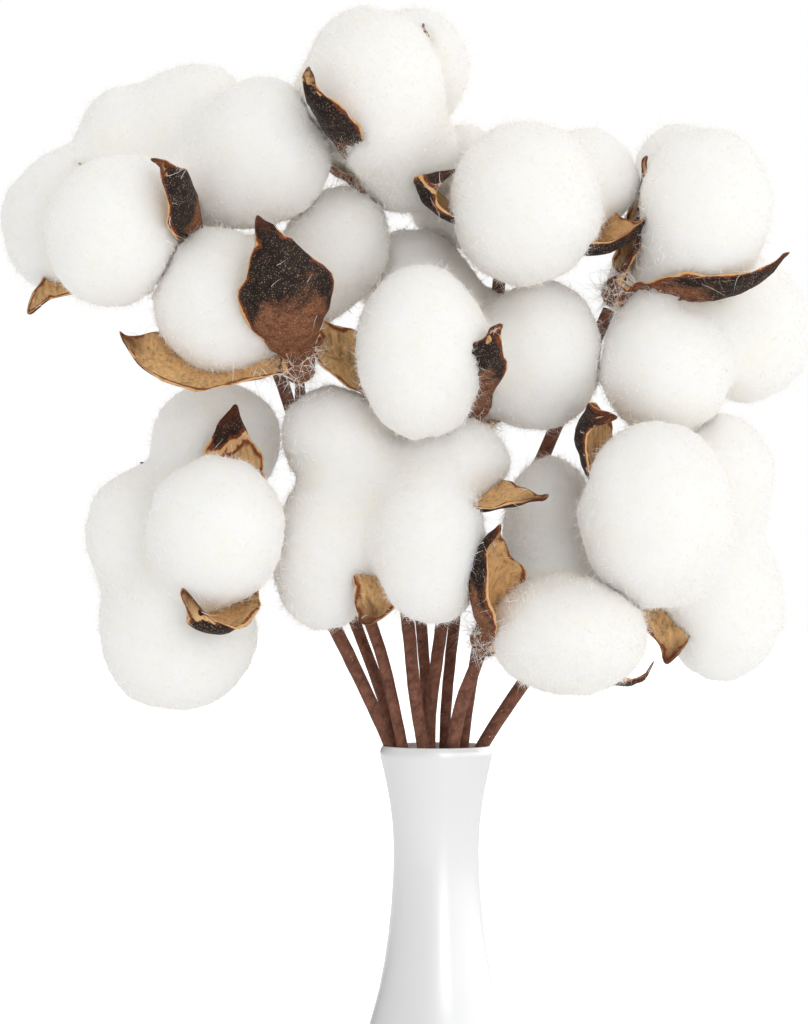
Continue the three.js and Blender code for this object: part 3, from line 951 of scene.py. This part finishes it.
class COTTON_OT_lint(Operator):
    """Puff up the white lint"""

    bl_idname = "cotton.lint"
    bl_label = "Lint"

    def execute(self, context):
        settings = context.scene.cotton_lint
        material = lint_material(settings)
        for name in BOLLS:
            node = f"lint_{name}"
            mesh = mesh_from(merged_copy(node), f"fluffy_{node}")
            piece = add_piece(f"fluffy_{node}", mesh, material, [node])
            remade = piece.modifiers.new("remade", "REMESH")
            remade.mode = "VOXEL"
            remade.voxel_size = settings.grain * 2
            softer = piece.modifiers.new("softer", "SMOOTH")
            softer.factor = 0.5
            softer.iterations = settings.softening
            finer = piece.modifiers.new("finer", "SUBSURF")
            finer.levels = finer.render_levels = 1
            mesh = apply_modifiers(piece)
            places, normals = read_points(mesh)
            reach, burr_gap = 6 * MM, 0.3 * MM
            soft, firm = near_trees(name, reach)
            to_lint = room_outside(places, normals, soft, reach)
            to_burr = room_outside(places, normals, firm, reach)
            seed = int(name)
            height, apart = BROAD_LUMPS
            swell = settings.puff + height * lumps(places, apart, seed)
            # Where another boll is close, the lint fills half of the way to it.
            beside = 1 - step_between(3.5 * MM, 5.5 * MM, to_lint)
            swell += beside * np.maximum(0, to_lint * 0.5 - swell)
            swell = np.minimum(swell, np.minimum(to_lint * 0.5, to_burr - burr_gap))
            for shift, (height, apart) in ((40, SMALL_LUMPS), (60, FINE_LUMPS)):
                swell += height * lumps(places, apart, seed + shift)
            write_points(mesh, places + normals * swell[:, None])
            write_value(mesh, "open_air", np.minimum(to_lint, to_burr) / MM)
            write_value(mesh, "to_burr", to_burr / MM)
            mesh.shade_smooth()
        return {"FINISHED"}


class COTTON_OT_hairs(Operator):
    """Let loose hairs stand off the lint and cling to the burrs"""

    bl_idname = "cotton.hairs"
    bl_label = "Hairs"

    def execute(self, context):
        settings = context.scene.cotton_hairs
        material = hair_material("cotton_hair", tuple(context.scene.cotton_lint.colour))
        dusty = hair_material("burr_down", tuple(settings.down_colour))
        for name in BOLLS:
            draws = np.random.default_rng(int(name))
            lint = bpy.data.objects[f"fluffy_lint_{name}"].data
            open_air = 0.12 + step_between(0.5, 4.0, read_value(lint, "open_air"))
            by_burr = 1 - step_between(0.5, 3.0, read_value(lint, "to_burr"))
            burr = bpy.data.objects[f"dry_burr_{name}"].data
            near_foot = 1 - step_between(6, 18, read_value(burr, "from_foot"))
            near_rim = 1 - step_between(0.5, 2.5, read_value(burr, "to_rim"))
            sow(
                f"hairs_{name}", lint, open_air + 5 * by_burr, draws, settings.count,
                (settings.length, settings.width, 2), material,
            )
            sow(
                f"tufts_{name}", lint, open_air, draws, settings.tufts,
                (settings.tuft_length, settings.tuft_width, 1), material,
            )
            sow(
                f"wisps_{name}", burr, 0.004 + near_foot + 0.06 * near_rim, draws, settings.wisps,
                (settings.wisp_length, settings.width * 1.8, 4), material,
            )
            sow(
                f"down_{name}", burr, 0.4 + near_foot + near_rim, draws, settings.down,
                (settings.down_length, settings.width * 1.3, 1), dusty,
            )
        return {"FINISHED"}


# ---- Stage ----


def soft_light(name, place, size, power):
    """A large square light that looks at the middle of the bunch."""
    data = bpy.data.lights.new(name, "AREA")
    data.shape = "SQUARE"
    data.size = size
    data.energy = power
    light = bpy.data.objects.new(name, data)
    light.location = place
    aim = Vector((0, 0, BUNCH_HIGH.z * 0.6)) - light.location
    light.rotation_euler = aim.to_track_quat("-Z", "Y").to_euler()
    bpy.context.scene.collection.objects.link(light)


def brighter_side(tree, direction, side, all_round):
    """A light strength that is `all_round` everywhere, plus more towards one side and less away from it."""
    towards = tree.nodes.new("ShaderNodeVectorMath")
    towards.operation = "DOT_PRODUCT"
    towards.inputs[1].default_value = side
    strength = towards.outputs["Value"]
    tree.links.new(direction, towards.inputs[0])
    for operation, number in (("ADD", all_round), ("MAXIMUM", 0)):
        step = tree.nodes.new("ShaderNodeMath")
        step.operation = operation
        step.inputs[1].default_value = number
        tree.links.new(strength, step.inputs[0])
        strength = step.outputs["Value"]
    return strength


def studio_world(strength):
    """White surroundings that light the bunch a little more from the right and from behind."""
    world = bpy.data.worlds.new("studio")
    world.use_nodes = True
    tree = world.node_tree
    background = next(n for n in tree.nodes if n.type == "BACKGROUND")
    background.inputs["Color"].default_value = (1, 1, 1, 1)
    direction = tree.nodes.new("ShaderNodeTexCoord").outputs["Generated"]
    path = tree.nodes.new("ShaderNodeLightPath")
    light = brighter_side(tree, direction, LIGHT_SIDE, LIGHT_ALL_ROUND * strength)
    sheen = brighter_side(tree, direction, SHEEN_SIDE, SHEEN_ALL_ROUND * strength)
    for kind, source in (("Is Glossy Ray", sheen), ("Is Camera Ray", None)):
        chosen = tree.nodes.new("ShaderNodeMix")
        chosen.inputs["B"].default_value = 1.0
        tree.links.new(path.outputs[kind], chosen.inputs["Factor"])
        tree.links.new(light, chosen.inputs["A"])
        if source:
            tree.links.new(source, chosen.inputs["B"])
        light = chosen.outputs["Result"]
    tree.links.new(light, background.inputs["Strength"])
    return world


class COTTON_OT_stage(Operator):
    """Lay a pale floor, light it softly and set up the camera"""

    bl_idname = "cotton.stage"
    bl_label = "Stage"

    def execute(self, context):
        settings = context.scene.cotton_stage
        work = bmesh.new()
        bmesh.ops.create_circle(work, cap_ends=True, radius=settings.floor_radius, segments=64)
        floor = bpy.data.objects.new("floor", mesh_from(work, "floor"))
        context.scene.collection.objects.link(floor)
        shades = Shades("pale_floor")
        grain = shades.noise(shades.place(), 40.0)
        shades.colour(shades.ramp(grain, [(0.0, (0.93, 0.93, 0.93)), (1.0, (0.96, 0.96, 0.96))]))
        shades.set(Roughness=0.8, Emission_Color=(1, 1, 1, 1))
        seen = shades.node("ShaderNodeLightPath").outputs["Is Camera Ray"]
        glow = shades.combine("MULTIPLY", seen, FLOOR_GLOW)
        shades.link(glow, shades.shader.inputs["Emission Strength"])
        floor.data.materials.append(shades.material)

        context.scene.world = studio_world(settings.light)
        context.scene.view_settings.view_transform = "Standard"
        soft_light("key", KEY_PLACE, KEY_SIZE, KEY_POWER * settings.light)

        data = bpy.data.cameras.new("camera")
        data.sensor_width = 36
        data.lens = data.sensor_width * settings.camera_distance / settings.view_height
        data.dof.use_dof = False
        data.clip_end = 50
        camera = bpy.data.objects.new("camera", data)
        across = (BUNCH_LOW.x + BUNCH_HIGH.x) / 2 - CAMERA_LEFT
        up = BUNCH_HIGH.z - settings.view_height / 2 + ROOM_ABOVE
        camera.location = (across, -settings.camera_distance, up)
        camera.rotation_euler = (math.radians(90), 0, 0)
        context.scene.collection.objects.link(camera)
        context.scene.camera = camera
        return {"FINISHED"}


# ---- Panel and registration ----


class COTTON_PT_bunch(Panel):
    """Lists the pieces of the bunch"""

    bl_idname = "COTTON_PT_bunch"
    bl_label = "Cotton stem bunch"
    bl_space_type = "VIEW_3D"
    bl_region_type = "UI"
    bl_category = "Cotton"

    def draw(self, context):
        for operator, group in PIECES:
            box = self.layout.box()
            box.operator(operator.bl_idname)
            settings = getattr(context.scene, group)
            for key in settings.__annotations__:
                box.prop(settings, key)


PIECES = (
    (COTTON_OT_vase, "cotton_vase"),
    (COTTON_OT_stems, "cotton_stems"),
    (COTTON_OT_burrs, "cotton_burrs"),
    (COTTON_OT_lint, "cotton_lint"),
    (COTTON_OT_hairs, "cotton_hairs"),
    (COTTON_OT_stage, "cotton_stage"),
)
GROUPS = (VaseSettings, StemSettings, BurrSettings, LintSettings, HairSettings, StageSettings)


def register():
    for group in GROUPS:
        bpy.utils.register_class(group)
    for (operator, key), group in zip(PIECES, GROUPS):
        bpy.utils.register_class(operator)
        setattr(bpy.types.Scene, key, PointerProperty(type=group))
    bpy.utils.register_class(COTTON_PT_bunch)


def unregister():
    bpy.utils.unregister_class(COTTON_PT_bunch)
    for (operator, key), group in zip(PIECES, GROUPS):
        delattr(bpy.types.Scene, key)
        bpy.utils.unregister_class(operator)
    for group in GROUPS:
        bpy.utils.unregister_class(group)


def main():
    register()
    bpy.ops.cotton.vase()
    bpy.ops.cotton.stems()
    bpy.ops.cotton.burrs()
    bpy.ops.cotton.lint()
    bpy.ops.cotton.hairs()
    bpy.ops.cotton.stage()


if __name__ == "__main__":
    main()
